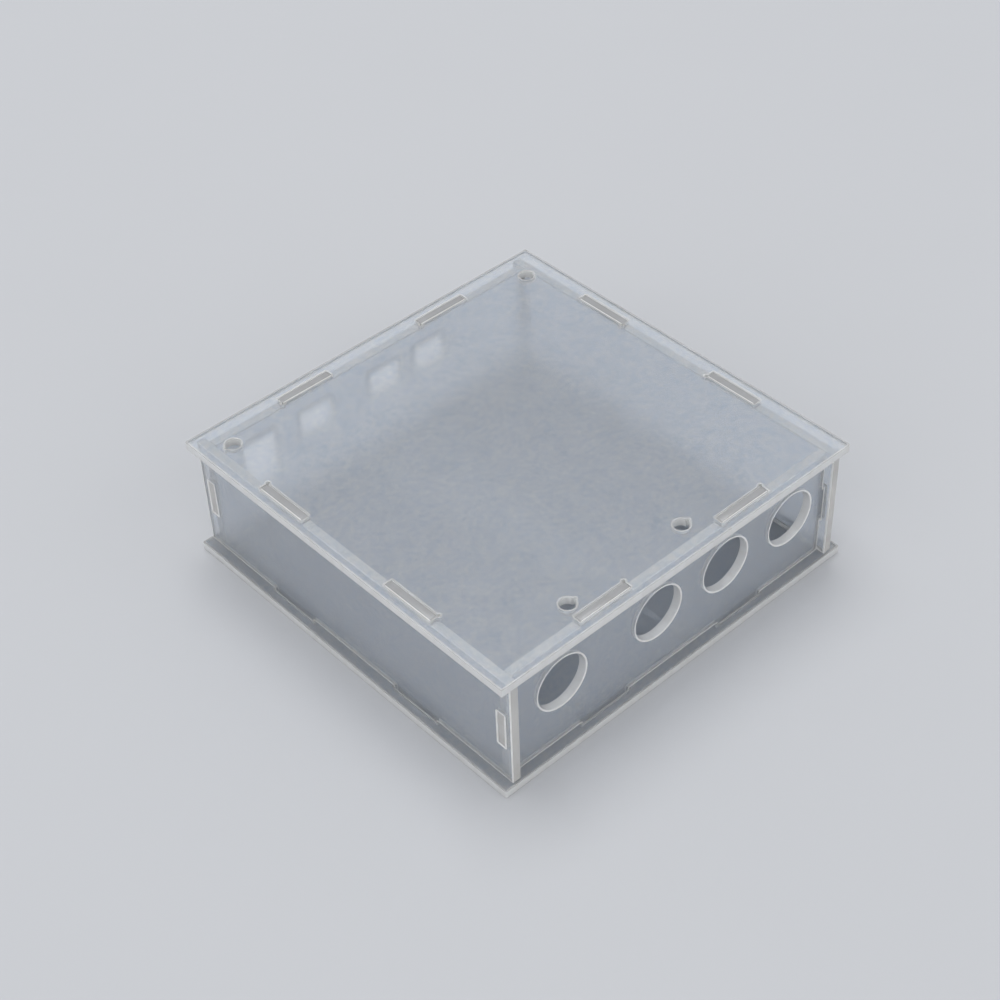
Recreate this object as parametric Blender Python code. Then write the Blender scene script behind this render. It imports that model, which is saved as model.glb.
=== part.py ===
"""Acrylic amplifier case: six flat laser-cut sheets that lock together by tabs and slots.

The case stands on its bottom plate. The origin is the middle of its footprint, +Z is up,
the front panel with the knob holes faces -Y and the rear panel with the connector windows
faces +Y. Every sheet is drawn flat, in its own X and Y, and is then stood up in its place.
All sizes are in metres.
"""

import math

import bmesh
import bpy
from mathutils import Vector

# Assembled case
CASE_WIDTH = 0.100
CASE_DEPTH = 0.100
CASE_HEIGHT = 0.0315

# Sheet and how the sheets stand to each other
SHEET = 0.002                  # thickness of all six sheets
PLATE_OVERHANG = 0.0025        # top and bottom plates stand out this far past the walls
SIDE_PANEL_SETBACK = 0.0005    # side panels end this far inside the plates' front and rear edges

# Clearances
SEAT_GAP = 0.0003              # between the edge of a sheet and the face that it stands against
KERF_GAP = 0.0002              # all round a tab in its slot, left by the laser's cut
TAB_RECESS = 0.0002            # a tab's end stays this far below the outer face

# Tabs
TAB_LENGTH = 0.0136            # the two tabs on each long edge of a wall
TAB_SPACING = 0.040            # between the centres of those two tabs
END_TAB_LENGTH = 0.009         # the upright tab at each end of the front and rear panels

# Screw holes through both plates, at the corners of the circuit board
SCREW_HOLE_DIAMETER = 0.0035
SCREW_INSET_X = 0.0025         # rear holes, from the inner face of a side panel
SCREW_INSET_Y = 0.00335        # both rows, from the inner face of the front or rear panel
FRONT_SCREW_INSET_X = 0.0202   # left front hole, from the inner face of the left side panel
FRONT_SCREW_SPACING = 0.0321   # between the two front holes

# Knob holes in the front panel, a row of three and one that stands apart at the left
KNOB_HOLE_DIAMETER = 0.013
KNOB_PITCH = 0.020
LONE_KNOB_PITCH = 0.027
KNOB_ROW_SHIFT = 0.0015        # middle of the row, to the right of the panel's middle
KNOB_ROW_RISE = 0.0025         # centres of the holes above the case's middle height

# Connector windows in the rear panel, all level at the top
WINDOW_WIDTH = 0.0095
WINDOW_TOP_RISE = 0.00875      # upper edges above the case's middle height
OUTPUT_WINDOW_HEIGHT = 0.007
POWER_WINDOW_HEIGHT = 0.0125
POWER_WINDOW_INSET = 0.0115    # centre of the power window, from the left side panel's inner face
POWER_TO_OUTPUT = 0.016        # centre of the power window to the first output window
WIDE_OUTPUT_PITCH = 0.020      # first to second output window
NARROW_OUTPUT_PITCH = 0.0135   # second to third output window

# Smoothness of round holes
KNOB_HOLE_SIDES = 72
SCREW_HOLE_SIDES = 36
SHARP_ANGLE = math.radians(30)

# Finish
FROSTED_ACRYLIC = (0.72, 0.76, 0.82, 1.0)
ACRYLIC_ROUGHNESS = 0.45
ACRYLIC_TRANSMISSION = 0.6
ACRYLIC_IOR = 1.49

# Places that follow from the sizes above
HALF_WIDTH = CASE_WIDTH / 2
HALF_DEPTH = CASE_DEPTH / 2
MID_HEIGHT = CASE_HEIGHT / 2
SIDE_OUTER = HALF_WIDTH - PLATE_OVERHANG
SIDE_INNER = SIDE_OUTER - SHEET
END_OUTER = HALF_DEPTH - PLATE_OVERHANG
END_INNER = END_OUTER - SHEET
WALL_FOOT = SHEET + SEAT_GAP
WALL_HEAD = CASE_HEIGHT - SHEET - SEAT_GAP
TAB_REACH = SEAT_GAP + SHEET - TAB_RECESS
SLOT_WIDTH = SHEET + 2 * KERF_GAP
SLOT_LENGTH = TAB_LENGTH + 2 * KERF_GAP
END_SLOT_LENGTH = END_TAB_LENGTH + 2 * KERF_GAP
TAB_CENTRES = (-TAB_SPACING / 2, TAB_SPACING / 2)

# Turns that stand a flat sheet up: across the case, and from front to rear
ACROSS = (math.pi / 2, 0.0, 0.0)
FRONT_TO_REAR = (math.pi / 2, 0.0, math.pi / 2)
FLAT = (0.0, 0.0, 0.0)


def clear_scene():
    """Take every object out of the scene."""
    for obj in list(bpy.data.objects):
        bpy.data.objects.remove(obj, do_unlink=True)


def acrylic_material(name):
    """Frosted colourless acrylic for one sheet."""
    material = bpy.data.materials.new(name)
    material.use_nodes = True
    shader = material.node_tree.nodes["Principled BSDF"]
    shader.inputs["Base Color"].default_value = FROSTED_ACRYLIC
    shader.inputs["Roughness"].default_value = ACRYLIC_ROUGHNESS
    shader.inputs["Metallic"].default_value = 0.0
    shader.inputs["IOR"].default_value = ACRYLIC_IOR
    shader.inputs["Transmission Weight"].default_value = ACRYLIC_TRANSMISSION
    return material


def edge_with_tabs(start, end, tab_centres, tab_length):
    """Points of one edge, from start up to end, with a square tab at each centre.

    Centres are measured from the middle of the edge. The outline is walked anticlockwise,
    so the tabs stand out to the right of the walk.
    """
    start = Vector(start)
    end = Vector(end)
    along = (end - start).normalized()
    outward = Vector((along.y, -along.x))
    middle = (start + end) / 2
    points = [start]
    for centre in tab_centres:
        near = middle + along * (centre - tab_length / 2)
        far = middle + along * (centre + tab_length / 2)
        points += [near, near + outward * TAB_REACH, far + outward * TAB_REACH, far]
    return points


def tabbed_outline(half_length, foot, head, end_tabs):
    """Outline of a wall: two tabs on its head and foot, and one at each end if end_tabs."""
    end_centres = (0.0,) if end_tabs else ()
    corners = [(-half_length, foot), (half_length, foot), (half_length, head), (-half_length, head)]
    outline = edge_with_tabs(corners[0], corners[1], TAB_CENTRES, TAB_LENGTH)
    outline += edge_with_tabs(corners[1], corners[2], end_centres, END_TAB_LENGTH)
    outline += edge_with_tabs(corners[2], corners[3], TAB_CENTRES, TAB_LENGTH)
    outline += edge_with_tabs(corners[3], corners[0], end_centres, END_TAB_LENGTH)
    return outline


def rectangle(centre_x, centre_y, width, height):
    """Corners of a rectangle, anticlockwise."""
    left = centre_x - width / 2
    right = centre_x + width / 2
    low = centre_y - height / 2
    high = centre_y + height / 2
    return [Vector((left, low)), Vector((right, low)), Vector((right, high)), Vector((left, high))]


def circle(centre_x, centre_y, diameter, sides):
    """Points of a round hole."""
    radius = diameter / 2
    points = []
    for step in range(sides):
        angle = 2 * math.pi * step / sides
        points.append(Vector((centre_x + radius * math.cos(angle), centre_y + radius * math.sin(angle))))
    return points


def cut_sheet(name, outline, holes, location, turn, parent):
    """One sheet: the outline with its holes, filled, given the sheet's thickness and placed."""
    bm = bmesh.new()
    cuts = []
    for loop in [outline] + holes:
        corners = [bm.verts.new((point.x, point.y, 0.0)) for point in loop]
        for here, following in zip(corners, corners[1:] + corners[:1]):
            cuts.append(bm.edges.new((here, following)))
    filled = bmesh.ops.triangle_fill(bm, use_beauty=True, edges=cuts, normal=(0, 0, 1))
    faces = [item for item in filled["geom"] if isinstance(item, bmesh.types.BMFace)]
    raised = bmesh.ops.extrude_face_region(bm, geom=faces)
    upper = [item for item in raised["geom"] if isinstance(item, bmesh.types.BMVert)]
    bmesh.ops.translate(bm, verts=upper, vec=(0.0, 0.0, SHEET))
    bmesh.ops.recalc_face_normals(bm, faces=bm.faces)

    mesh = bpy.data.meshes.new(name)
    bm.to_mesh(mesh)
    bm.free()
    mesh.shade_smooth()
    mesh.set_sharp_from_angle(angle=SHARP_ANGLE)
    mesh.materials.append(acrylic_material(name + "_acrylic"))

    sheet = bpy.data.objects.new(name, mesh)
    sheet.location = location
    sheet.rotation_euler = turn
    sheet.parent = parent
    bpy.context.collection.objects.link(sheet)
    return sheet


def screw_centres():
    """Centres of the screw holes: two wide apart at the rear, two closer together in front."""
    rear_x = SIDE_INNER - SCREW_INSET_X
    row_y = END_INNER - SCREW_INSET_Y
    front_x = -SIDE_INNER + FRONT_SCREW_INSET_X
    return [(-rear_x, row_y), (rear_x, row_y), (front_x, -row_y), (front_x + FRONT_SCREW_SPACING, -row_y)]


def plate_holes():
    """Slots for the walls' tabs and the four screw holes, the same in both plates."""
    side_slot = SIDE_OUTER - SHEET / 2
    end_slot = END_OUTER - SHEET / 2
    holes = []
    for sign in (-1, 1):
        for centre in TAB_CENTRES:
            holes.append(rectangle(sign * side_slot, centre, SLOT_WIDTH, SLOT_LENGTH))
            holes.append(rectangle(centre, sign * end_slot, SLOT_LENGTH, SLOT_WIDTH))
    for x, y in screw_centres():
        holes.append(circle(x, y, SCREW_HOLE_DIAMETER, SCREW_HOLE_SIDES))
    return holes


def knob_holes():
    """Round holes in the front panel, from left to right."""
    row_length = LONE_KNOB_PITCH + 2 * KNOB_PITCH
    lone = KNOB_ROW_SHIFT - row_length / 2
    first = lone + LONE_KNOB_PITCH
    height = MID_HEIGHT + KNOB_ROW_RISE
    centres = [lone, first, first + KNOB_PITCH, first + 2 * KNOB_PITCH]
    return [circle(x, height, KNOB_HOLE_DIAMETER, KNOB_HOLE_SIDES) for x in centres]


def connector_windows():
    """Rectangular windows in the rear panel: one tall for power, three lower for the outputs."""
    top = MID_HEIGHT + WINDOW_TOP_RISE
    x = -SIDE_INNER + POWER_WINDOW_INSET
    windows = [rectangle(x, top - POWER_WINDOW_HEIGHT / 2, WINDOW_WIDTH, POWER_WINDOW_HEIGHT)]
    for step in (POWER_TO_OUTPUT, WIDE_OUTPUT_PITCH, NARROW_OUTPUT_PITCH):
        x += step
        windows.append(rectangle(x, top - OUTPUT_WINDOW_HEIGHT / 2, WINDOW_WIDTH, OUTPUT_WINDOW_HEIGHT))
    return windows


def end_tab_slots():
    """Upright slots in a side panel for the end tabs of the front and rear panels."""
    centre = END_OUTER - SHEET / 2
    return [rectangle(sign * centre, MID_HEIGHT, SLOT_WIDTH, END_SLOT_LENGTH) for sign in (-1, 1)]


def make_plates(parent):
    """The bottom plate on the ground and the top plate over the walls."""
    outline = rectangle(0.0, 0.0, CASE_WIDTH, CASE_DEPTH)
    cut_sheet("bottom_plate", outline, plate_holes(), (0.0, 0.0, 0.0), FLAT, parent)
    cut_sheet("top_plate", outline, plate_holes(), (0.0, 0.0, CASE_HEIGHT - SHEET), FLAT, parent)


def make_end_panels(parent):
    """The front and rear panels, which stand between the side panels."""
    half_length = SIDE_INNER - SEAT_GAP
    outline = tabbed_outline(half_length, WALL_FOOT, WALL_HEAD, end_tabs=True)
    cut_sheet("front_panel", outline, knob_holes(), (0.0, -END_INNER, 0.0), ACROSS, parent)
    cut_sheet("rear_panel", outline, connector_windows(), (0.0, END_OUTER, 0.0), ACROSS, parent)


def make_side_panels(parent):
    """The side panels, which run past the front and rear panels and take their end tabs."""
    half_length = HALF_DEPTH - SIDE_PANEL_SETBACK
    outline = tabbed_outline(half_length, WALL_FOOT, WALL_HEAD, end_tabs=False)
    left = (-SIDE_OUTER, 0.0, 0.0)
    right = (SIDE_INNER, 0.0, 0.0)
    cut_sheet("left_side_panel", outline, end_tab_slots(), left, FRONT_TO_REAR, parent)
    cut_sheet("right_side_panel", outline, end_tab_slots(), right, FRONT_TO_REAR, parent)


def main():
    """Build the whole case under one empty at its reference point."""
    clear_scene()
    case = bpy.data.objects.new("amplifier_case", None)
    bpy.context.collection.objects.link(case)
    make_plates(case)
    make_end_panels(case)
    make_side_panels(case)


if __name__ == "__main__":
    main()
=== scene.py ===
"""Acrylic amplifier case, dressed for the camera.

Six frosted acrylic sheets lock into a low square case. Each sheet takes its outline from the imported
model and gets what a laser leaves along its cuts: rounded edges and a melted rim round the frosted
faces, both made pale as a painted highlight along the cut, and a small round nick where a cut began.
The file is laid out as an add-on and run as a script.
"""

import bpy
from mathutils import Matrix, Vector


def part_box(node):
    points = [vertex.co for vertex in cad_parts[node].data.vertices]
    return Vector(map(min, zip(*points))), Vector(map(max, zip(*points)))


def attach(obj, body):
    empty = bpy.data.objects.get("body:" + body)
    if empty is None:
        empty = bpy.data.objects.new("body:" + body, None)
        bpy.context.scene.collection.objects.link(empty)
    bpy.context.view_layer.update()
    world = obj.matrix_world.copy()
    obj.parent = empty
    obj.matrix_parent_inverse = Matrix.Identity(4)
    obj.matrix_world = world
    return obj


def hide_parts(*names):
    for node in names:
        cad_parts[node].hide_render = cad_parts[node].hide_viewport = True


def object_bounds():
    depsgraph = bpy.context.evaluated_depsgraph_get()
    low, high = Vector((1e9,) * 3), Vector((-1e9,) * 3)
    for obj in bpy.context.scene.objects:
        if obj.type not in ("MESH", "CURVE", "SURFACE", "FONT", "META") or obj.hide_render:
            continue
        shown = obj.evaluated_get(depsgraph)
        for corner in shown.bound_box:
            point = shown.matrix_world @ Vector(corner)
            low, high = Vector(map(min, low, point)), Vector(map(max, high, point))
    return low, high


bl_info = {
    "name": "Acrylic amplifier case",
    "version": (1, 0, 0),
    "blender": (4, 5, 0),
    "location": "3D View > Sidebar > Acrylic Case",
    "description": "Frosted acrylic sheets with laser-cut edges, locked into a low case",
    "category": "Add Mesh",
}

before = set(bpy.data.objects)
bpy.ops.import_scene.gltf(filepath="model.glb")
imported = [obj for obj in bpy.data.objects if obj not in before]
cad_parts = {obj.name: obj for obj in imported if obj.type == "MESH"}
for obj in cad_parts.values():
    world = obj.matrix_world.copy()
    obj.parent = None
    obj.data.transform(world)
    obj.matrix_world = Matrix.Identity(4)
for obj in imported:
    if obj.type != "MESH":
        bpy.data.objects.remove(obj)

import math

import bmesh
import bpy
from bpy.props import FloatProperty, FloatVectorProperty, IntProperty, PointerProperty
from mathutils import Euler, Matrix, Vector
from mathutils.geometry import intersect_line_sphere_2d

CAD_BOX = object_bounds()
BODY = "root"

# Indices of a point's coordinates
X, Y, Z = 0, 1, 2

# The sheets' thickness and the faces that the walls stand against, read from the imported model
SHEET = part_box("top_plate")[1].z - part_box("top_plate")[0].z
FLOOR_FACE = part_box("bottom_plate")[1].z
CEILING_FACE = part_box("top_plate")[0].z
SIDE_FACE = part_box("right_side_panel")[0].x
OUTER_SIDE_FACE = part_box("right_side_panel")[1].x

# How a sheet stands: the axes that its drawing's X and Y go to, the axis of its thickness, and its turn
LYING = (X, Y, Z, Matrix.Identity(4))
FACING_FRONT = (X, Z, Y, Euler((math.pi / 2, 0, 0)).to_matrix().to_4x4())
FACING_SIDE = (Y, Z, X, Euler((math.pi / 2, 0, math.pi / 2)).to_matrix().to_4x4())

# Where the laser began the plates' slots and three of their screw holes, as seen on the upper plate
PLATE_STARTS = (
    (-0.0453, 0.0270), (-0.0453, -0.0270), (-0.0130, -0.0453), (0.0270, -0.0453),
    (0.0453, -0.0130), (0.0453, 0.0130), (0.0130, 0.0453), (-0.0270, 0.0453),
    (-0.0448, 0.0421), (-0.0235, -0.0421), (0.0086, -0.0421),
)

MATCH = 1e-6               # points closer than this are one point
START_REACH = 0.0008       # a start this near to a cut belongs to it
NEAR_A_FACE = 0.0005       # an edge this near to a neighbour's face rests on it
SHARP_TURN = math.radians(30)
ROUND_POINTS = 24          # a round hole has at least this many points
ROUNDNESS = 0.00001        # a round hole's points lie this near to one circle
NICK_DEPTH = 0.3           # how far a nick's middle lies beyond the cut, as a share of its radius
SECTION_FLAT = 1.5         # reach of a cut edge's section into the sheet, as a multiple of its rounding
ANY_DEPTH = 1.0            # in metres, far more than a sheet's thickness

# Sizes of the materials' patterns in metres
CLOUD_SIZE = 0.004
GRAIN_SIZE = 0.0011
DUST_CELL = 0.0022         # each cell holds one speck of dust
LINE_SIZE = 0.0003
STREAK_SIZE = 0.0022
MELT_SIZE = 0.0016
MOTTLE_SIZE = 0.05
PATCH_DETAIL = 3.0         # how finely clouds, grain, melted patches and mottle are broken up

WHOLE_RANGE = (0.0, 1.0)

# Values between which a pattern fades in, where its noise runs from 0 to 1
CLOUD_FADE = (0.35, 0.65)
GRAIN_FADE = (0.35, 0.75)
STREAK_FADE = (0.45, 0.75)
LINE_FADE = (0.35, 0.75)
MELT_FADE = (0.4, 0.7)
GLOSS_FADE = (0.3, 0.7)
DUST_FADE = (0.03, 0.06)   # a speck fades out between these distances, as shares of its cell

# How strongly the marks show, from 0 to 1
SCRATCH_SHARE = 0.5
STREAK_SHARE = 0.6
LINE_SHARE = 0.3

# Each family of scratches: how its noise is stretched and turned, and where it fades in
SCRATCHES = (
    ((6, 260, 260), (0.2, 0.1, 0.6), (0.80, 0.84)),
    ((240, 5, 240), (0.1, 0.3, -0.4), (0.81, 0.85)),
)
SCRATCH_SIZE = 1 / 18      # size of that noise before it is stretched

# How far a pattern takes the roughness below and above its setting
FACE_GLOSS = (0.0, 0.04)
EDGE_GLOSS = (-0.04, 0.06)
RIM_GLOSS = (0.0, 0.1)

# Strength and height in metres of the relief
GRAIN_RELIEF = (0.12, 0.00003)
LINE_RELIEF = (0.1, 0.00002)

MOTTLE_SHADE = 0.985       # the floor's mottle, as a share of its colour
FLOOR_ROUGHNESS = 0.9
FLOOR_SHINE = 0.1


class CutSettings(bpy.types.PropertyGroup):
    """What the laser leaves along its cuts."""

    edge_rounding: FloatProperty(
        name="Edge Rounding", description="Radius between a face and its cut edge",
        default=0.0001, precision=5, subtype="DISTANCE", unit="LENGTH")
    edge_steps: IntProperty(
        name="Edge Steps", description="Facets in the rounding of a cut edge", default=3, min=1)
    # The rim is melted acrylic beside the cut, made pale as a painted highlight along the cut edge
    rim_width: FloatProperty(
        name="Rim Width", description="Width of the pale, melted rim round each frosted face",
        default=0.0004, precision=5, subtype="DISTANCE", unit="LENGTH")
    outer_corner: FloatProperty(
        name="Outer Corner", description="Radius of a sheet's corner that stands out",
        default=0.0003, precision=5, subtype="DISTANCE", unit="LENGTH")
    inner_corner: FloatProperty(
        name="Inner Corner", description="Radius of a sheet's corner that turns in",
        default=0.00015, precision=5, subtype="DISTANCE", unit="LENGTH")
    corner_steps: IntProperty(
        name="Corner Steps", description="Facets in a rounded corner", default=5, min=1)
    hole_facet: FloatProperty(
        name="Hole Facet", description="Length of one facet round a hole",
        default=0.00025, precision=5, subtype="DISTANCE", unit="LENGTH")
    seat_gap: FloatProperty(
        name="Seat Gap",
        description="Gap between a wall's edge and its neighbour's face, and depth of a tab's end in a slot",
        default=0.00005, precision=5, subtype="DISTANCE", unit="LENGTH")
    slot_tightening: FloatProperty(
        name="Slot Tightening", description="How far each slot's edges close in on the tab that fills it",
        default=0.00014, precision=5, subtype="DISTANCE", unit="LENGTH")
    nick_radius: FloatProperty(
        name="Nick Radius", description="Radius of the round nick where a cut began",
        default=0.0004, precision=5, subtype="DISTANCE", unit="LENGTH")
    nick_steps: IntProperty(
        name="Nick Steps", description="Facets round a nick", default=14, min=6)


class FinishSettings(bpy.types.PropertyGroup):
    """Colours and gloss of the acrylic."""

    frost_colour: FloatVectorProperty(
        name="Frost Colour", description="Colour of the frosted faces",
        default=(0.75, 0.82, 0.91), size=3, min=0.0, max=1.0, subtype="COLOR")
    haze_colour: FloatVectorProperty(
        name="Haze Colour", description="Colour of the paler clouds in the frosting",
        default=(0.805, 0.855, 0.935), size=3, min=0.0, max=1.0, subtype="COLOR")
    dust_colour: FloatVectorProperty(
        name="Dust Colour", description="Colour of dust and fine scratches",
        default=(0.97, 0.97, 0.96), size=3, min=0.0, max=1.0, subtype="COLOR")
    # The cut edges' pale colours and low clearness are painted light: they stand in for the light that the
    # sheet carries out at its edges
    edge_colour: FloatVectorProperty(
        name="Edge Colour", description="Colour of the cut edges, which let the light out of the sheet",
        default=(0.95, 0.95, 0.94), size=3, min=0.0, max=1.0, subtype="COLOR")
    # Nearly white, warm and almost opaque: painted light for the light that the walls carry out along their
    # edges between the plates, which shows as pale bands
    painted_light_seated_edge_colour: FloatVectorProperty(
        name="Seated Edge Colour", description="Colour of the walls' cut edges between the plates",
        default=(0.98, 0.94, 0.88), size=3, min=0.0, max=1.0, subtype="COLOR")
    # Dark grey copy of the cut edge: painted shade on the tab ends that sit in the plates' slots
    painted_shade_tab_end_colour: FloatVectorProperty(
        name="Tab End Colour", description="Colour of the cut ends of the tabs in the plates",
        default=(0.62, 0.62, 0.62), size=3, min=0.0, max=1.0, subtype="COLOR")
    # Pale as painted light, like the plates' cut edges
    painted_light_upright_end_colour: FloatVectorProperty(
        name="Upright End Colour", description="Colour of the upright cut ends of the walls",
        default=(0.93, 0.91, 0.88), size=3, min=0.0, max=1.0, subtype="COLOR")
    singe_tint: FloatVectorProperty(
        name="Singe Tint", description="How the laser's heat shades the streaks that it left in the cuts",
        default=(0.92, 0.90, 0.87), size=3, min=0.0, max=1.0, subtype="COLOR")
    face_clearness: FloatProperty(
        name="Face Clearness", description="Share of light that passes a frosted face",
        default=0.79, min=0.0, max=1.0, subtype="FACTOR")
    # Low clearness keeps the plates' and holes' cut edges pale, as painted light carried out at the edges
    painted_light_plate_edge_clearness: FloatProperty(
        name="Plate Edge Clearness", description="Share of light that passes a plate's outer cut edge",
        default=0.3, min=0.0, max=1.0, subtype="FACTOR")
    hole_edge_clearness: FloatProperty(
        name="Hole Edge Clearness", description="Share of light that passes the cut edge of a hole",
        default=0.25, min=0.0, max=1.0, subtype="FACTOR")
    # Almost no clearness keeps the seated edges pale, as painted light
    painted_light_seated_edge_clearness: FloatProperty(
        name="Seated Edge Clearness",
        description="Share of light that passes a wall's cut edge between the plates",
        default=0.05, min=0.0, max=1.0, subtype="FACTOR")
    end_clearness: FloatProperty(
        name="End Clearness", description="Share of light that passes the cut ends of tabs and walls",
        default=0.5, min=0.0, max=1.0, subtype="FACTOR")
    # Low clearness keeps the rims pale as a painted highlight, most of all on the walls
    plate_rim_clearness: FloatProperty(
        name="Plate Rim Clearness", description="Share of light that passes the melted rims on the plates",
        default=0.62, min=0.0, max=1.0, subtype="FACTOR")
    wall_rim_clearness: FloatProperty(
        name="Wall Rim Clearness", description="Share of light that passes the melted rims on the walls",
        default=0.1, min=0.0, max=1.0, subtype="FACTOR")
    face_roughness: FloatProperty(
        name="Face Roughness", description="Roughness of the frosted faces",
        default=0.20, min=0.0, max=1.0, subtype="FACTOR")
    edge_roughness: FloatProperty(
        name="Edge Roughness", description="Roughness of the cut edges",
        default=0.16, min=0.0, max=1.0, subtype="FACTOR")
    refraction: FloatProperty(
        name="Refraction", description="Refractive index of acrylic", default=1.49, min=1.0)


class StageSettings(bpy.types.PropertyGroup):
    """Floor, surroundings and camera."""

    floor_colour: FloatVectorProperty(
        name="Floor Colour", description="Colour of the floor",
        default=(0.58, 0.59, 0.61), size=3, min=0.0, max=1.0, subtype="COLOR")
    floor_size: FloatProperty(
        name="Floor Size", description="Side of the square floor", default=6.0,
        subtype="DISTANCE", unit="LENGTH")
    sky_colour: FloatVectorProperty(
        name="Sky Colour", description="Colour of the even light from all round",
        default=(0.47, 0.48, 0.50), size=3, min=0.0, max=1.0, subtype="COLOR")
    lens: FloatProperty(
        name="Lens", description="Focal length in millimetres, on a sensor 36 mm wide",
        default=72.02, min=1.0)
    camera_place: FloatVectorProperty(
        name="Camera Place", description="Where the camera stands",
        default=(-0.21423, -0.24036, 0.30868), size=3, precision=5, subtype="TRANSLATION",
        unit="LENGTH")
    camera_turn: FloatVectorProperty(
        name="Camera Turn", description="How the camera is turned",
        default=(math.radians(47.634), math.radians(1.756), math.radians(-42.661)), size=3,
        subtype="EULER", unit="ROTATION")


def area_of(loop):
    """Signed area inside a closed loop: positive if the loop runs anticlockwise."""
    return sum(here.cross(after) for here, after in zip(loop, loop[1:] + loop[:1])) / 2


def flat_loops(node, stance):
    """A CAD sheet's outline and its holes, drawn flat, with the material always to their left."""
    across, up, thick = stance[:3]
    bm = bmesh.new()
    bm.from_mesh(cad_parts[node].data)
    bmesh.ops.remove_doubles(bm, verts=bm.verts, dist=MATCH)
    top = max(vertex.co[thick] for vertex in bm.verts)
    upper = {face for face in bm.faces if all(abs(vertex.co[thick] - top) < MATCH for vertex in face.verts)}
    neighbours = {}
    for edge in bm.edges:
        if sum(face in upper for face in edge.link_faces) == 1:
            for vertex in edge.verts:
                neighbours.setdefault(vertex, []).append(edge.other_vert(vertex))
    loops = []
    while neighbours:
        here = next(iter(neighbours))
        chain = []
        while here is not None:
            chain.append(Vector((here.co[across], here.co[up])))
            here = next((vertex for vertex in neighbours.pop(here) if vertex in neighbours), None)
        loops.append(chain)
    bm.free()
    loops.sort(key=lambda loop: -abs(area_of(loop)))
    return [
        loop if (area_of(loop) > 0) == (number == 0) else loop[::-1]
        for number, loop in enumerate(loops)
    ]


def seated(value, face, gap):
    """The value, or a place just clear of the face if the value lies close to it."""
    if MATCH < abs(value - face) < NEAR_A_FACE:
        return face + math.copysign(gap, value - face)
    return value


def settled(loop, ends_on_sides, gap):
    """A wall's loop with its resting edges and tab ends brought up to the faces that they end at."""
    points = []
    for across, up in loop:
        for face in (CAD_BOX[0][Z], FLOOR_FACE, CEILING_FACE, CAD_BOX[1][Z]):
            up = seated(up, face, gap)
        if ends_on_sides:
            for face in (-OUTER_SIDE_FACE, -SIDE_FACE, SIDE_FACE, OUTER_SIDE_FACE):
                across = seated(across, face, gap)
        points.append(Vector((across, up)))
    return points


def corners(loop):
    """Each point of a closed loop with the directions in which the loop arrives and leaves."""
    for before, here, after in zip(loop[-1:] + loop[:-1], loop, loop[1:] + loop[:1]):
        yield here, (here - before).normalized(), (after - here).normalized()


def to_left(arriving, leaving):
    """The direction that points into the material at a corner."""
    along = (arriving + leaving).normalized()
    return Vector((-along.y, along.x))


def moved_inward(loop, distance):
    """A loop with each of its edges moved into the material."""
    points = []
    for here, arriving, leaving in corners(loop):
        inward = to_left(arriving, leaving)
        points.append(here + inward * distance / inward.dot(Vector((-leaving.y, leaving.x))))
    return points


def softened(loop, inset, nick, cut):
    """A loop with its corners rounded, apart from one that a nick takes away."""
    points = []
    for here, arriving, leaving in corners(loop):
        turn = math.atan2(arriving.cross(leaving), arriving.dot(leaving))
        radius = max(cut.outer_corner - inset, 0) if turn > 0 else cut.inner_corner + inset
        in_nick = nick is not None and (here - nick).length < cut.nick_radius + inset
        if abs(turn) < SHARP_TURN or radius < MATCH or in_nick:
            points.append(here)
            continue
        start = here - arriving * radius * math.tan(abs(turn) / 2)
        centre = start + Vector((-arriving.y, arriving.x)) * math.copysign(radius, turn)
        for step in range(cut.corner_steps + 1):
            points.append(centre + Matrix.Rotation(turn * step / cut.corner_steps, 2) @ (start - centre))
    return points


def circle_of(loop):
    """The centre and radius of a round hole's loop, or None if the loop isn't round."""
    centre = sum(loop, Vector((0, 0))) / len(loop)
    distances = [(point - centre).length for point in loop]
    if len(loop) < ROUND_POINTS or max(distances) - min(distances) > ROUNDNESS:
        return None
    return centre, max(distances)


def round_hole(circle, inset, facet):
    """A round hole drawn again with finer facets, its edge moved into the material."""
    centre, radius = circle
    sides = round(2 * math.pi * radius / facet)
    return [
        centre + (radius + inset) * Vector((math.cos(angle), math.sin(angle)))
        for angle in (-2 * math.pi * step / sides for step in range(sides))
    ]


def nick_centre(loop, starts, cut):
    """The middle of the nick where a loop's cut began, or None if no start lies on the loop."""
    for start in starts:
        here, arriving, leaving = min(corners(loop), key=lambda corner: (corner[0] - Vector(start)).length)
        if (here - Vector(start)).length < START_REACH:
            return here + to_left(arriving, leaving) * cut.nick_radius * NICK_DEPTH
    return None


def on_circle(inside, outside, centre, radius):
    """Where the line between two points crosses a circle."""
    return next(point for point in intersect_line_sphere_2d(inside, outside, centre, radius) if point)


def with_nick(loop, centre, radius, cut):
    """A loop that goes round a nick on the side of the material."""
    first = min(range(len(loop)), key=lambda number: (loop[number] - centre).length)
    ring = loop[first:] + loop[:first]
    clear = [number for number, point in enumerate(ring) if (point - centre).length > radius]
    begin, end = clear[0], clear[-1]
    leave = on_circle(ring[begin - 1], ring[begin], centre, radius)
    enter = on_circle(ring[(end + 1) % len(ring)], ring[end], centre, radius)
    margin = cut.edge_rounding * SECTION_FLAT
    kept = [
        point for point in ring[begin:end + 1]
        if min((point - leave).length, (point - enter).length) > margin
    ]
    start_angle = math.atan2(*(enter - centre).yx)
    end_angle = math.atan2(*(leave - centre).yx)
    if end_angle > start_angle:
        end_angle -= 2 * math.pi
    for step in range(cut.nick_steps + 1):
        angle = start_angle + (end_angle - start_angle) * step / cut.nick_steps
        kept.append(centre + radius * Vector((math.cos(angle), math.sin(angle))))
    return kept


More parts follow.
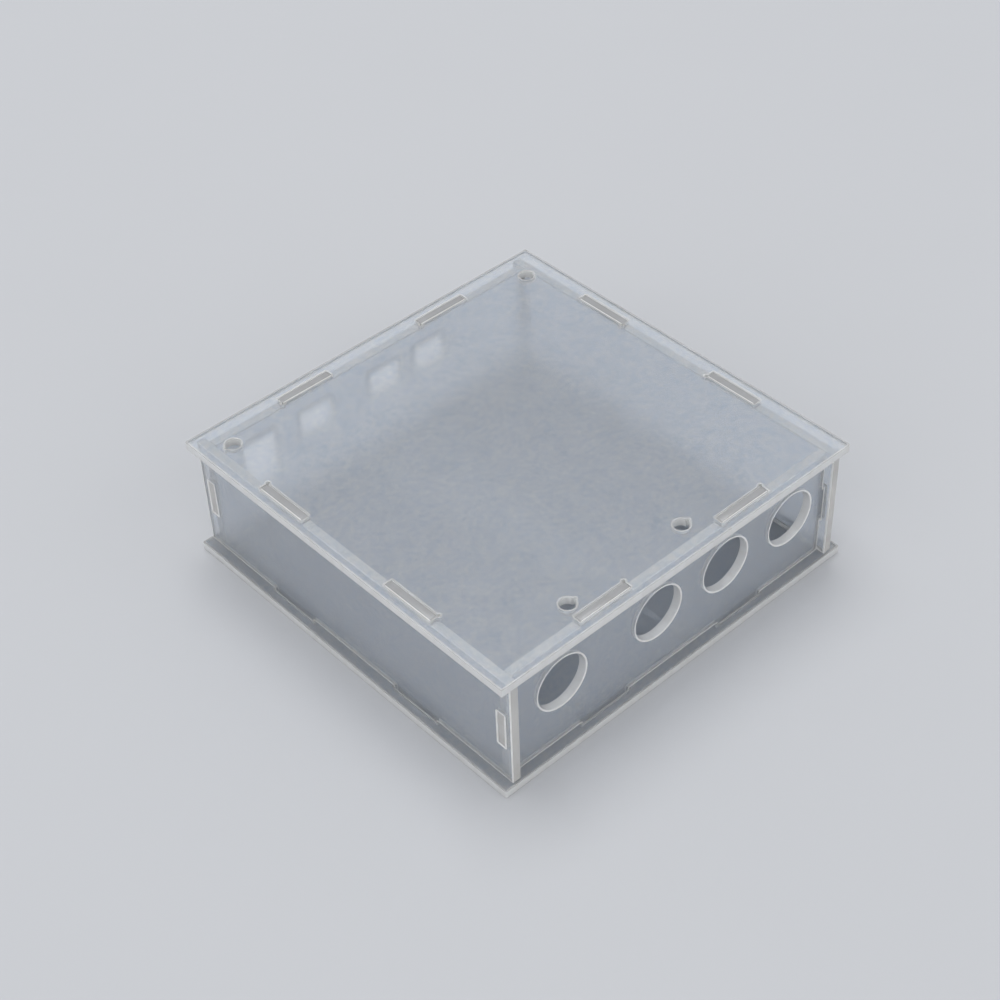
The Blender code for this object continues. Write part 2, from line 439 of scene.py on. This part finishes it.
def drawn(loop, inset, nick, cut):
    """A loop as the laser leaves it, moved into the material by an inset."""
    circle = circle_of(loop)
    if circle:
        shape = round_hole(circle, inset, cut.hole_facet)
    else:
        shape = softened(moved_inward(loop, inset), inset, nick, cut)
    return shape if nick is None else with_nick(shape, nick, cut.nick_radius + inset, cut)


def add_node(tree, kind, inputs=None, **settings):
    """A new node. Its inputs map a socket's name or number to a value, or to the socket that feeds it."""
    node = tree.nodes.new(kind)
    for name, value in settings.items():
        setattr(node, name, value)
    for key, value in (inputs or {}).items():
        if isinstance(value, bpy.types.NodeSocket):
            tree.links.new(value, node.inputs[key])
        else:
            node.inputs[key].default_value = value
    return node


def math_node(tree, operation, first, second=0.0):
    """The result of a calculation with one or two values or sockets."""
    return add_node(tree, "ShaderNodeMath", {0: first, 1: second}, operation=operation).outputs[0]


def compared(tree, first, operation, second, data_type="FLOAT"):
    """Whether a comparison of two values or sockets holds, for vectors in each of their parts."""
    # Each type of data has two sockets of its own on the node
    one, other = {"FLOAT": (0, 1), "INT": (2, 3), "VECTOR": (4, 5)}[data_type]
    inputs = {one: first, other: second}
    node = add_node(tree, "FunctionNodeCompare", inputs, data_type=data_type, operation=operation)
    return node.outputs[0]


def joined(tree, *parts):
    """Several geometries as one."""
    join = tree.nodes.new("GeometryNodeJoinGeometry")
    for part in reversed(parts):
        tree.links.new(part, join.inputs[0])
    return join.outputs[0]


SHEET_INPUTS = (
    ("Loops", "NodeSocketGeometry", "Flat loops: first the cuts, then as many that bound the frosted faces"),
    ("Cuts", "NodeSocketInt", "How many of the loops are cuts"),
    ("Thickness", "NodeSocketFloat", "Thickness of the sheet"),
    ("Edge Rounding", "NodeSocketFloat", "Radius between a face and its cut edge"),
    ("Edge Steps", "NodeSocketInt", "Facets in that rounding"),
    ("Frosted Face", "NodeSocketMaterial", "Material of the frosted faces"),
    ("Seat Low", "NodeSocketVector", "Low corner of the box in which outer edges rest against other sheets"),
    ("Seat High", "NodeSocketVector", "High corner of that box"),
    ("Free Edge", "NodeSocketMaterial", "Material of the outer cut edges that stand free"),
    ("Seated Edge", "NodeSocketMaterial", "Material of the outer cut edges that rest against other sheets"),
    ("Upright End", "NodeSocketMaterial", "Material of the outer cut edges left and right of that box"),
    ("Hole Edge", "NodeSocketMaterial", "Material of the cut edges in its holes"),
    # The rims and the edges' roundings are pale as a painted highlight along every cut
    ("Rim", "NodeSocketMaterial", "Material of the melted rims round the frosted faces"),
)


def edge_section(tree, thickness, rounding, steps):
    """The open, round-cornered section of a cut edge, from the upper face down to the lower one."""
    reach = math_node(tree, "MULTIPLY", rounding, -SECTION_FLAT)
    section_points = {
        "Point 1": add_node(tree, "ShaderNodeCombineXYZ", {"X": reach}).outputs[0],
        "Point 2": (0, 0, 0),
        "Point 3": add_node(tree, "ShaderNodeCombineXYZ", {"Y": thickness}).outputs[0],
        "Point 4": add_node(tree, "ShaderNodeCombineXYZ", {"X": reach, "Y": thickness}).outputs[0],
    }
    closed = add_node(tree, "GeometryNodeCurvePrimitiveQuadrilateral", section_points, mode="POINTS")
    opened = add_node(tree, "GeometryNodeSetSplineCyclic", {0: closed.outputs[0], "Cyclic": False})
    fillet = {0: opened.outputs[0], "Count": steps, "Radius": rounding}
    return add_node(tree, "GeometryNodeFilletCurve", fillet, mode="POLY").outputs[0]


def flat_face(tree, loops):
    """The flat, sharp-shaded face between closed loops."""
    filled = add_node(tree, "GeometryNodeFillCurve", {0: loops}, mode="TRIANGLES")
    shade = {0: filled.outputs[0], "Shade Smooth": False}
    return add_node(tree, "GeometryNodeSetShadeSmooth", shade).outputs[0]


def marked(tree, geometry, name, domain="FACE", value=True):
    """A geometry whose faces or curves carry a named mark."""
    mark = {0: geometry, "Name": name, "Value": value}
    return add_node(
        tree, "GeometryNodeStoreNamedAttribute", mark, data_type="BOOLEAN", domain=domain).outputs[0]


def cut_sheet_tree():
    """Geometry Nodes that sweep a rounded edge along flat loops and close the sheet above and below.

    The loops lie at height 0, which becomes the upper face, and the thickness goes down from there.
    """
    tree = bpy.data.node_groups.new("laser_cut_sheet", "GeometryNodeTree")
    tree.is_modifier = True
    for name, kind, description in SHEET_INPUTS:
        tree.interface.new_socket(name, description=description, in_out="INPUT", socket_type=kind)
    tree.interface.new_socket("Sheet", in_out="OUTPUT", socket_type="NodeSocketGeometry")
    given = add_node(tree, "NodeGroupInput").outputs

    number = add_node(tree, "GeometryNodeInputIndex").outputs[0]
    is_cut = compared(tree, number, "LESS_THAN", given["Cuts"], "INT")
    parted = add_node(
        tree, "GeometryNodeSeparateGeometry", {0: given["Loops"], "Selection": is_cut}, domain="CURVE")
    cuts, frosting = parted.outputs

    section = edge_section(tree, given["Thickness"], given["Edge Rounding"], given["Edge Steps"])
    is_hole = compared(tree, number, "GREATER_THAN", 0, "INT")
    noted = marked(tree, cuts, "hole", "CURVE", is_hole)
    upright = add_node(tree, "GeometryNodeSetCurveNormal", {0: noted}, mode="Z_UP")
    swept = {0: upright.outputs[0], "Profile Curve": section}
    edges = add_node(tree, "GeometryNodeCurveToMesh", swept).outputs[0]

    place = add_node(tree, "GeometryNodeInputPosition").outputs[0]
    height = add_node(tree, "ShaderNodeSeparateXYZ", {0: place}).outputs["Z"]
    middle = math_node(tree, "MULTIPLY", given["Thickness"], -0.5)
    is_upper = compared(tree, height, "GREATER_THAN", middle)
    faces_beside = add_node(tree, "GeometryNodeInputMeshEdgeNeighbors").outputs[0]
    is_open = compared(tree, faces_beside, "EQUAL", 1, "INT")
    is_border = add_node(tree, "FunctionNodeBooleanMath", {0: is_upper, 1: is_open}).outputs[0]
    border = add_node(tree, "GeometryNodeMeshToCurve", {0: edges, "Selection": is_border}).outputs[0]

    off_middle = math_node(tree, "ABSOLUTE", math_node(tree, "SUBTRACT", height, middle))
    straight = math_node(
        tree, "SUBTRACT", math_node(tree, "MULTIPLY", given["Thickness"], 0.5), given["Edge Rounding"])
    is_rounding = compared(tree, off_middle, "GREATER_THAN", straight)
    # The roundings of the cut edges and a band round each frosted face take the rim's material, a painted
    # highlight along every cut
    edges = marked(tree, edges, "rim", value=is_rounding)
    rim = marked(tree, flat_face(tree, joined(tree, border, frosting)), "rim")
    frosted = marked(tree, flat_face(tree, frosting), "frosted")
    upper = joined(tree, rim, frosted)
    drop = math_node(tree, "MULTIPLY", given["Thickness"], -1)
    down = add_node(tree, "ShaderNodeCombineXYZ", {"Z": drop}).outputs[0]
    moved = add_node(tree, "GeometryNodeTransform", {0: upper, "Translation": down})
    lower = add_node(tree, "GeometryNodeFlipFaces", {0: moved.outputs[0]}).outputs[0]

    shell = {0: joined(tree, edges, upper, lower), "Distance": MATCH}
    closed = add_node(tree, "GeometryNodeMergeByDistance", shell)
    real = add_node(tree, "GeometryNodeRealizeInstances", {0: closed.outputs[0]})
    # Free, seated and upright-end edges take separate copies of the cut edge, made pale as painted light or
    # dark as painted shade
    is_above = compared(tree, place, "GREATER_THAN", given["Seat Low"], "VECTOR")
    is_below = compared(tree, place, "LESS_THAN", given["Seat High"], "VECTOR")
    is_seated = add_node(tree, "FunctionNodeBooleanMath", {0: is_above, 1: is_below}).outputs[0]
    free = {0: real.outputs[0], "Material": given["Free Edge"]}
    sheet = add_node(tree, "GeometryNodeSetMaterial", free)
    across = add_node(tree, "ShaderNodeSeparateXYZ", {0: place}).outputs["X"]
    seat_side = add_node(tree, "ShaderNodeSeparateXYZ", {0: given["Seat High"]}).outputs["X"]
    is_end = compared(tree, math_node(tree, "ABSOLUTE", across), "GREATER_THAN", seat_side)
    for selection, material in ((is_seated, "Seated Edge"), (is_end, "Upright End")):
        dressed = {0: sheet.outputs[0], "Selection": selection, "Material": given[material]}
        sheet = add_node(tree, "GeometryNodeSetMaterial", dressed)
    for mark, material in (("hole", "Hole Edge"), ("rim", "Rim"), ("frosted", "Frosted Face")):
        chosen = add_node(tree, "GeometryNodeInputNamedAttribute", {"Name": mark}, data_type="BOOLEAN")
        dressed = {0: sheet.outputs[0], "Selection": chosen.outputs[0], "Material": given[material]}
        sheet = add_node(tree, "GeometryNodeSetMaterial", dressed)
    add_node(tree, "NodeGroupOutput", {0: sheet.outputs[0]})
    return tree


def once(collection, name, make):
    """The named data block, made when it is first asked for."""
    found = collection.get(name)
    return found if found else make()


def rgba(colour):
    """A colour with full alpha."""
    return (*colour, 1.0)


def new_material(name):
    """A plain node material, its tree, its shader and the coordinates that its patterns follow."""
    material = bpy.data.materials.new(name)
    material.use_nodes = True
    tree = material.node_tree
    tree.nodes.clear()
    shader = add_node(tree, "ShaderNodeBsdfPrincipled")
    add_node(tree, "ShaderNodeOutputMaterial", {"Surface": shader.outputs[0]})
    return material, tree, shader, add_node(tree, "ShaderNodeTexCoord").outputs["Object"]


def new_acrylic(name, clearness, finish):
    """As new_material, for acrylic that lets a share of the light through."""
    made = new_material(name)
    shader = made[2]
    shader.inputs["Transmission Weight"].default_value = clearness
    shader.inputs["IOR"].default_value = finish.refraction
    return made


def noise(tree, place, size, detail=2.0):
    """Noise with features of about a given size in metres."""
    inputs = {"Vector": place, "Scale": 1 / size, "Detail": detail}
    return add_node(tree, "ShaderNodeTexNoise", inputs).outputs["Fac"]


def spread(tree, value, source, target=WHOLE_RANGE):
    """A value's range stretched to another one, and held at its ends."""
    inputs = {0: value, 1: source[0], 2: source[1], 3: target[0], 4: target[1]}
    return add_node(tree, "ShaderNodeMapRange", inputs).outputs[0]


def mixed(tree, share, first, second):
    """A mix of two colours."""
    return add_node(tree, "ShaderNodeMix", {0: share, 6: first, 7: second}, data_type="RGBA").outputs[2]


def scaled(tree, place, scale, turn=(0, 0, 0)):
    """Coordinates that are turned and stretched."""
    return add_node(
        tree, "ShaderNodeMapping", {"Vector": place, "Rotation": turn, "Scale": scale}).outputs[0]


def vary_roughness(tree, shader, pattern, source, roughness, gloss):
    """Let a pattern's range move a shader's roughness about its setting."""
    target = [roughness + change for change in gloss]
    tree.links.new(spread(tree, pattern, source, target), shader.inputs["Roughness"])


def raise_relief(tree, shader, pattern, relief):
    """Let a pattern stand out of a shader's surface, with a strength and a height in metres."""
    strength, height = relief
    inputs = {"Strength": strength, "Distance": height, "Height": pattern}
    tree.links.new(add_node(tree, "ShaderNodeBump", inputs).outputs[0], shader.inputs["Normal"])


def singed(colour, finish):
    """A colour as the laser's heat shades it."""
    return rgba(value * tint for value, tint in zip(colour, finish.singe_tint))


def frosted_material(finish):
    """Satin acrylic face: cloudy, finely grained, with dust and hairline scratches."""
    material, tree, shader, place = new_acrylic("frosted_face", finish.face_clearness, finish)
    cloud = spread(tree, noise(tree, place, CLOUD_SIZE, PATCH_DETAIL), CLOUD_FADE)
    grain = noise(tree, place, GRAIN_SIZE, PATCH_DETAIL)
    dust_cell = add_node(tree, "ShaderNodeTexVoronoi", {"Vector": place, "Scale": 1 / DUST_CELL})
    dust = spread(tree, dust_cell.outputs["Distance"], DUST_FADE, (1.0, 0.0))
    families = [
        spread(tree, noise(tree, scaled(tree, place, stretch, turn), SCRATCH_SIZE, detail=0.0), fade)
        for stretch, turn, fade in SCRATCHES
    ]
    scratch = math_node(tree, "MULTIPLY", math_node(tree, "MAXIMUM", *families), SCRATCH_SHARE)
    marks = math_node(tree, "MAXIMUM", dust, scratch)
    frost = mixed(tree, cloud, rgba(finish.frost_colour), rgba(finish.haze_colour))
    grained = mixed(tree, spread(tree, grain, GRAIN_FADE), frost, rgba(finish.dust_colour))
    tree.links.new(mixed(tree, marks, grained, rgba(finish.dust_colour)), shader.inputs["Base Color"])
    vary_roughness(tree, shader, cloud, WHOLE_RANGE, finish.face_roughness, FACE_GLOSS)
    raise_relief(tree, shader, grain, GRAIN_RELIEF)
    return material


def cut_edge_material(name, finish, thick, edge_colour, clearness):
    """Melted cut edge with the laser's fine lines across the sheet's thickness; its colour and clearness
    make it pale as painted light, or dark as painted shade for the tab ends in slots.
    """
    material, tree, shader, place = new_acrylic(name, clearness, finish)
    along = [1.0, 1.0, 1.0]
    along[thick] = 0.0
    line = noise(tree, scaled(tree, place, along), LINE_SIZE)
    streak = noise(tree, scaled(tree, place, along), STREAK_SIZE)
    plain, shaded = rgba(edge_colour), singed(edge_colour, finish)
    streaked = mixed(tree, spread(tree, streak, STREAK_FADE, (0.0, STREAK_SHARE)), plain, shaded)
    lined = mixed(tree, spread(tree, line, LINE_FADE, (0.0, LINE_SHARE)), streaked, shaded)
    tree.links.new(lined, shader.inputs["Base Color"])
    vary_roughness(tree, shader, line, GLOSS_FADE, finish.edge_roughness, EDGE_GLOSS)
    raise_relief(tree, shader, line, LINE_RELIEF)
    return material


def edge_material(finish, kind, thick):
    """The material of one kind of cut edge on sheets of one direction of thickness."""
    # Lit and shaded copies of one cut edge: the pale kinds are painted light, the tab end's dark grey is
    # painted shade
    colour, clearness = {
        "painted_light_plate_edge": (finish.edge_colour, finish.painted_light_plate_edge_clearness),
        "hole_edge": (finish.edge_colour, finish.hole_edge_clearness),
        "painted_light_seated_edge": (finish.painted_light_seated_edge_colour, finish.painted_light_seated_edge_clearness),
        "painted_shade_tab_end": (finish.painted_shade_tab_end_colour, finish.end_clearness),
        "painted_light_upright_end": (finish.painted_light_upright_end_colour, finish.end_clearness),
    }[kind]
    name = kind + "_" + "xyz"[thick]
    return once(
        bpy.data.materials, name, lambda: cut_edge_material(name, finish, thick, colour, clearness))


def highlight_rim_material(name, finish, clearness):
    """Acrylic that melted beside a cut and set again, shiny and a little uneven, made pale as a painted
    highlight along the cut.
    """
    material, tree, shader, place = new_acrylic(name, clearness, finish)
    patch = noise(tree, place, MELT_SIZE, PATCH_DETAIL)
    plain, shaded = rgba(finish.edge_colour), singed(finish.edge_colour, finish)
    tree.links.new(mixed(tree, spread(tree, patch, MELT_FADE), plain, shaded), shader.inputs["Base Color"])
    vary_roughness(tree, shader, patch, GLOSS_FADE, finish.edge_roughness, RIM_GLOSS)
    return material


def check_closed(mesh):
    """Stop if a sheet's mesh has open edges or is turned inside out."""
    bm = bmesh.new()
    bm.from_mesh(mesh)
    open_edges = sum(not edge.is_manifold for edge in bm.edges)
    volume = bm.calc_volume(signed=True)
    bm.free()
    if open_edges or volume <= 0:
        raise RuntimeError(f"{mesh.name} has {open_edges} open edges and a volume of {volume}")


def sheet_loops(node, stance, cut):
    """A sheet's loops, brought up to what they rest against and closed in on what goes through them."""
    loops = flat_loops(node, stance)
    if stance is not LYING:
        loops = [settled(loop, stance is FACING_FRONT, cut.seat_gap) for loop in loops]
    if stance is not FACING_FRONT:
        loops[1:] = [
            loop if circle_of(loop) else moved_inward(loop, -cut.slot_tightening) for loop in loops[1:]
        ]
    return loops


def draw_loops(scene, name, loops):
    """A curve object with a closed, straight-sided spline for each loop."""
    curve = bpy.data.curves.new(name, "CURVE")
    curve.dimensions = "3D"
    for loop in loops:
        spline = curve.splines.new("POLY")
        spline.points.add(len(loop) - 1)
        spline.points.foreach_set("co", [value for point in loop for value in (*point, 0.0, 1.0)])
        spline.use_cyclic_u = True
    drawing = bpy.data.objects.new(name, curve)
    scene.collection.objects.link(drawing)
    return drawing


def sheet_values(scene, node, stance, cuts):
    """What the Geometry Nodes need for a sheet: a value for each of their inputs but the loops."""
    cut, finish = scene.acrylic_cut, scene.acrylic_finish
    # Beyond this reach to the left and right, a wall's outer edges are its upright ends
    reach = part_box(node)[1].y - NEAR_A_FACE if stance is FACING_SIDE else SIDE_FACE
    # A wall's free edges are its tab ends in the plates' slots and get the dark copy as painted shade; its
    # seated edges and upright ends get pale copies as painted light
    edges = {"Free Edge": "painted_shade_tab_end", "Seated Edge": "painted_light_seated_edge", "Upright End": "painted_light_upright_end"}
    # The rims are melted acrylic made pale as a painted highlight, almost opaque on the walls
    rim, rim_clearness = "melted_highlight_wall_rim", finish.wall_rim_clearness
    if stance is LYING:
        edges = dict.fromkeys(edges, "painted_light_plate_edge")
        rim, rim_clearness = "melted_highlight_plate_rim", finish.plate_rim_clearness
    edges["Hole Edge"] = "hole_edge"
    thick = stance[2]
    return {
        "Cuts": cuts,
        "Thickness": SHEET,
        "Edge Rounding": cut.edge_rounding,
        "Edge Steps": cut.edge_steps,
        "Frosted Face": once(bpy.data.materials, "frosted_face", lambda: frosted_material(finish)),
        "Seat Low": (-reach, FLOOR_FACE, -ANY_DEPTH),
        "Seat High": (reach, CEILING_FACE, ANY_DEPTH),
        "Rim": once(bpy.data.materials, rim, lambda: highlight_rim_material(rim, finish, rim_clearness)),
        **{socket: edge_material(finish, kind, thick) for socket, kind in edges.items()},
    }


def make_sheet(scene, node, name, stance, starts=()):
    """Make one sheet of acrylic in place of a CAD node, with the edges that a laser leaves."""
    cut = scene.acrylic_cut
    thick, turn = stance[2:]
    loops = sheet_loops(node, stance, cut)
    nicks = [nick_centre(loop, starts, cut) for loop in loops]
    shapes = [
        drawn(loop, inset, nick, cut)
        for inset in (0.0, cut.rim_width) for loop, nick in zip(loops, nicks)
    ]
    drawing = draw_loops(scene, name + "_drawing", shapes)
    modifier = drawing.modifiers.new("Laser Cut Sheet", "NODES")
    modifier.node_group = once(bpy.data.node_groups, "laser_cut_sheet", cut_sheet_tree)
    values = sheet_values(scene, node, stance, len(loops))
    for socket in modifier.node_group.interface.items_tree:
        if socket.name in values:
            modifier[socket.identifier] = values[socket.name]

    evaluated = drawing.evaluated_get(bpy.context.evaluated_depsgraph_get())
    mesh = bpy.data.meshes.new_from_object(evaluated)
    mesh.name = name
    curve = drawing.data
    bpy.data.objects.remove(drawing)
    bpy.data.curves.remove(curve)

    # The drawing's upper face goes to the top, the front or the right of the sheet's box
    upper_end = 0 if stance is FACING_FRONT else 1
    offset = Vector((0, 0, 0))
    offset[thick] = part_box(node)[upper_end][thick]
    mesh.transform(Matrix.Translation(offset) @ turn)
    check_closed(mesh)

    sheet = bpy.data.objects.new(name, mesh)
    scene.collection.objects.link(sheet)
    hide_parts(node)
    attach(sheet, BODY)


class ACRYLIC_CASE_OT_plates(bpy.types.Operator):
    """Lay the bottom and top plates, which the walls' tabs lock into"""

    bl_idname = "acrylic_case.plates"
    bl_label = "Bottom and Top Plates"

    def execute(self, context):
        make_sheet(context.scene, "bottom_plate", "bottom_sheet", LYING, PLATE_STARTS)
        make_sheet(context.scene, "top_plate", "top_sheet", LYING, PLATE_STARTS)
        return {"FINISHED"}


class ACRYLIC_CASE_OT_front_panel(bpy.types.Operator):
    """Stand up the front wall with its round knob holes"""

    bl_idname = "acrylic_case.front_panel"
    bl_label = "Front Panel"

    def execute(self, context):
        make_sheet(context.scene, "front_panel", "front_sheet", FACING_FRONT)
        return {"FINISHED"}


class ACRYLIC_CASE_OT_rear_panel(bpy.types.Operator):
    """Stand up the rear wall with its connector windows"""

    bl_idname = "acrylic_case.rear_panel"
    bl_label = "Rear Panel"

    def execute(self, context):
        make_sheet(context.scene, "rear_panel", "rear_sheet", FACING_FRONT)
        return {"FINISHED"}


class ACRYLIC_CASE_OT_side_panels(bpy.types.Operator):
    """Stand up the two side walls, which the front and rear walls' end tabs pass through"""

    bl_idname = "acrylic_case.side_panels"
    bl_label = "Side Panels"

    def execute(self, context):
        for side in ("left", "right"):
            make_sheet(context.scene, side + "_side_panel", side + "_sheet", FACING_SIDE)
        return {"FINISHED"}


def floor_material(colour):
    """Matt, pale floor with a faint mottle."""
    material, tree, shader, place = new_material("pale_floor")
    mottle = noise(tree, place, MOTTLE_SIZE, PATCH_DETAIL)
    darker = rgba(value * MOTTLE_SHADE for value in colour)
    tree.links.new(mixed(tree, mottle, darker, rgba(colour)), shader.inputs["Base Color"])
    shader.inputs["Roughness"].default_value = FLOOR_ROUGHNESS
    shader.inputs["Specular IOR Level"].default_value = FLOOR_SHINE
    return material


# Name, place, side of the square lamp in metres, and power in watts
LAMPS = (
    ("key_lamp", (-2.6, -0.6, 1.7), 3.0, 23.0),
    ("fill_lamp", (0.4, -2.9, 1.5), 3.0, 20.0),
    ("top_lamp", (0.3, 0.7, 2.8), 2.1, 41.0),
)


class ACRYLIC_CASE_OT_stage(bpy.types.Operator):
    """Set the pale floor, the soft lamps and the camera"""

    bl_idname = "acrylic_case.stage"
    bl_label = "Floor, Lamps and Camera"

    def execute(self, context):
        scene = context.scene
        stage = scene.acrylic_stage
        half = stage.floor_size / 2
        mesh = bpy.data.meshes.new("floor")
        floor_corners = [(-half, -half, 0), (half, -half, 0), (half, half, 0), (-half, half, 0)]
        mesh.from_pydata(floor_corners, [], [(0, 1, 2, 3)])
        mesh.materials.append(floor_material(stage.floor_colour))
        floor = bpy.data.objects.new("floor", mesh)
        scene.collection.objects.link(floor)

        middle = (Vector(CAD_BOX[0]) + Vector(CAD_BOX[1])) / 2
        for name, place, side, power in LAMPS:
            light = bpy.data.lights.new(name, "AREA")
            light.size = side
            light.energy = power
            lamp = bpy.data.objects.new(name, light)
            lamp.location = place
            lamp.rotation_euler = (middle - Vector(place)).to_track_quat("-Z", "Y").to_euler()
            scene.collection.objects.link(lamp)

        world = bpy.data.worlds.new("pale_surroundings")
        world.use_nodes = True
        world.node_tree.nodes["Background"].inputs["Color"].default_value = rgba(stage.sky_colour)
        scene.world = world

        data = bpy.data.cameras.new("camera")
        data.lens = stage.lens
        camera = bpy.data.objects.new("camera", data)
        camera.location = stage.camera_place
        camera.rotation_euler = stage.camera_turn
        scene.collection.objects.link(camera)
        scene.camera = camera
        scene.view_settings.view_transform = "Standard"
        return {"FINISHED"}


OPERATORS = (
    ACRYLIC_CASE_OT_plates,
    ACRYLIC_CASE_OT_front_panel,
    ACRYLIC_CASE_OT_rear_panel,
    ACRYLIC_CASE_OT_side_panels,
    ACRYLIC_CASE_OT_stage,
)


class ACRYLIC_CASE_PT_panel(bpy.types.Panel):
    """The case's pieces and settings"""

    bl_label = "Acrylic Case"
    bl_idname = "ACRYLIC_CASE_PT_panel"
    bl_space_type = "VIEW_3D"
    bl_region_type = "UI"
    bl_category = "Acrylic Case"

    def draw(self, context):
        for operator in OPERATORS:
            self.layout.operator(operator.bl_idname)
        for name, group in SETTINGS:
            box = self.layout.box()
            for setting in group.__annotations__:
                box.prop(getattr(context.scene, name), setting)


SETTINGS = (
    ("acrylic_cut", CutSettings),
    ("acrylic_finish", FinishSettings),
    ("acrylic_stage", StageSettings),
)


def register():
    for name, group in SETTINGS:
        bpy.utils.register_class(group)
        setattr(bpy.types.Scene, name, PointerProperty(type=group))
    for operator in OPERATORS:
        bpy.utils.register_class(operator)
    bpy.utils.register_class(ACRYLIC_CASE_PT_panel)


def unregister():
    bpy.utils.unregister_class(ACRYLIC_CASE_PT_panel)
    for operator in reversed(OPERATORS):
        bpy.utils.unregister_class(operator)
    for name, group in reversed(SETTINGS):
        delattr(bpy.types.Scene, name)
        bpy.utils.unregister_class(group)


def main():
    register()
    bpy.ops.acrylic_case.stage()
    bpy.ops.acrylic_case.plates()
    bpy.ops.acrylic_case.front_panel()
    bpy.ops.acrylic_case.rear_panel()
    bpy.ops.acrylic_case.side_panels()


if __name__ == "__main__":
    main()
